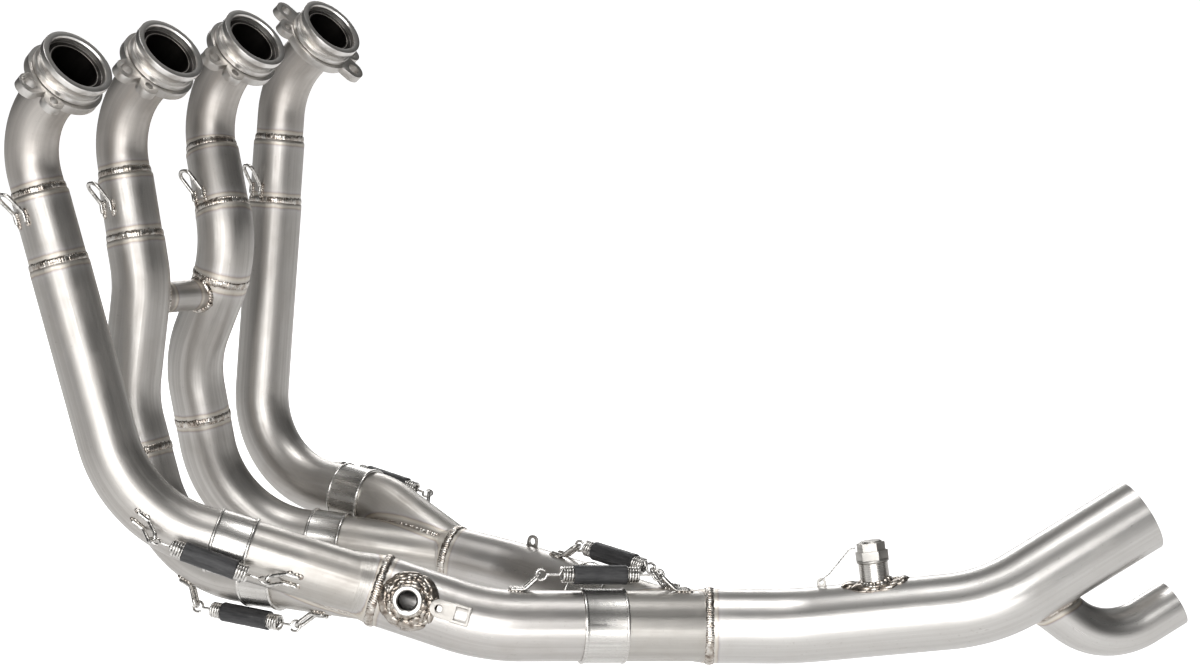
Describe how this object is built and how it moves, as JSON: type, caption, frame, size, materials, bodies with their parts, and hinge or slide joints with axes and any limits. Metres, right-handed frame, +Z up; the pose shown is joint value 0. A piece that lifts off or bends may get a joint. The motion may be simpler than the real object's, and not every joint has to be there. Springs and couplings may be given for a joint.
{
  "type": "motorcycle exhaust header",
  "caption": "Motorcycle exhaust header: curved head tubes with loose flanges merge in pairs, then into one tail pipe with a smaller branch, held by sprung slip joints.",
  "frame": {"origin": "middle of the row of ports, on the open faces of the port rings", "axes": "+X to the rear of the motorcycle, +Y to the rider's right along the row of ports, +Z up"},
  "size_m": [0.7022, 0.4112, 0.4214],
  "materials": {
    "tube_steel": "brushed, unpainted",
    "turned_ring": "turned",
    "flange_cast": "satin cast",
    "turned_steel": "turned",
    "wire_steel": "bright drawn wire",
    "spring_wire": "drawn spring wire",
    "sleeve_rubber": "matt"
  },
  "bodies": {
    "header": {"port_ring_1": "turned_ring", "port_ring_2": "turned_ring", "port_ring_3": "turned_ring", "port_ring_4": "turned_ring", "head_bend_1": "tube_steel", "head_bend_2": "tube_steel", "head_bend_3": "tube_steel", "head_bend_4": "tube_steel", "step_tube_1": "tube_steel", "step_tube_2": "tube_steel", "step_tube_3": "tube_steel", "step_tube_4": "tube_steel", "down_tube_1": "tube_steel", "down_tube_2": "tube_steel", "down_tube_3": "tube_steel", "down_tube_4": "tube_steel", "middle_tube_3": "tube_steel", "lower_bend_2": "tube_steel", "lower_bend_3": "tube_steel", "cross_stub": "tube_steel", "slip_collar_1": "tube_steel", "slip_collar_2": "tube_steel", "slip_collar_3": "tube_steel", "slip_collar_4": "tube_steel", "near_collector": "tube_steel", "far_collector": "tube_steel", "near_pipe": "tube_steel", "far_pipe": "tube_steel", "final_slip_near": "tube_steel", "final_slip_far": "tube_steel", "final_collector": "tube_steel", "tail_pipe": "tube_steel", "branch_pipe": "tube_steel", "head_loops": "wire_steel", "spring_loops": "wire_steel", "spring_1": "spring_wire", "spring_2": "spring_wire", "spring_3": "spring_wire", "spring_4": "spring_wire", "spring_5": "spring_wire", "spring_6": "spring_wire", "sleeve_1": "sleeve_rubber", "sleeve_2": "sleeve_rubber", "sleeve_3": "sleeve_rubber", "sleeve_4": "sleeve_rubber", "sleeve_5": "sleeve_rubber", "sleeve_6": "sleeve_rubber", "sensor_boss": "turned_steel", "hose_tab": "wire_steel", "far_lug": "wire_steel", "plug_boss": "turned_steel", "blanking_plug": "turned_steel", "plug_washer": "turned_steel", "safety_wire": "wire_steel", "wire_lug": "wire_steel"},
    "port_flange_1": {"port_flange_1": "flange_cast"},
    "port_flange_2": {"port_flange_2": "flange_cast"},
    "port_flange_3": {"port_flange_3": "flange_cast"},
    "port_flange_4": {"port_flange_4": "flange_cast"}
  },
  "joints": [
    {"name": "flange_1_turn", "type": "hinge", "parent": "header", "child": "port_flange_1", "pos_m": [-0.01349, -0.135, -0.01236], "axis": [0.7373, 0, 0.6756], "continuous": true},
    {"name": "flange_2_turn", "type": "hinge", "parent": "header", "child": "port_flange_2", "pos_m": [-0.01349, -0.045, -0.01236], "axis": [0.7373, 0, 0.6756], "continuous": true},
    {"name": "flange_3_turn", "type": "hinge", "parent": "header", "child": "port_flange_3", "pos_m": [-0.01349, 0.045, -0.01236], "axis": [0.7373, 0, 0.6756], "continuous": true},
    {"name": "flange_4_turn", "type": "hinge", "parent": "header", "child": "port_flange_4", "pos_m": [-0.01349, 0.135, -0.01236], "axis": [0.7373, 0, 0.6756], "continuous": true}
  ]
}
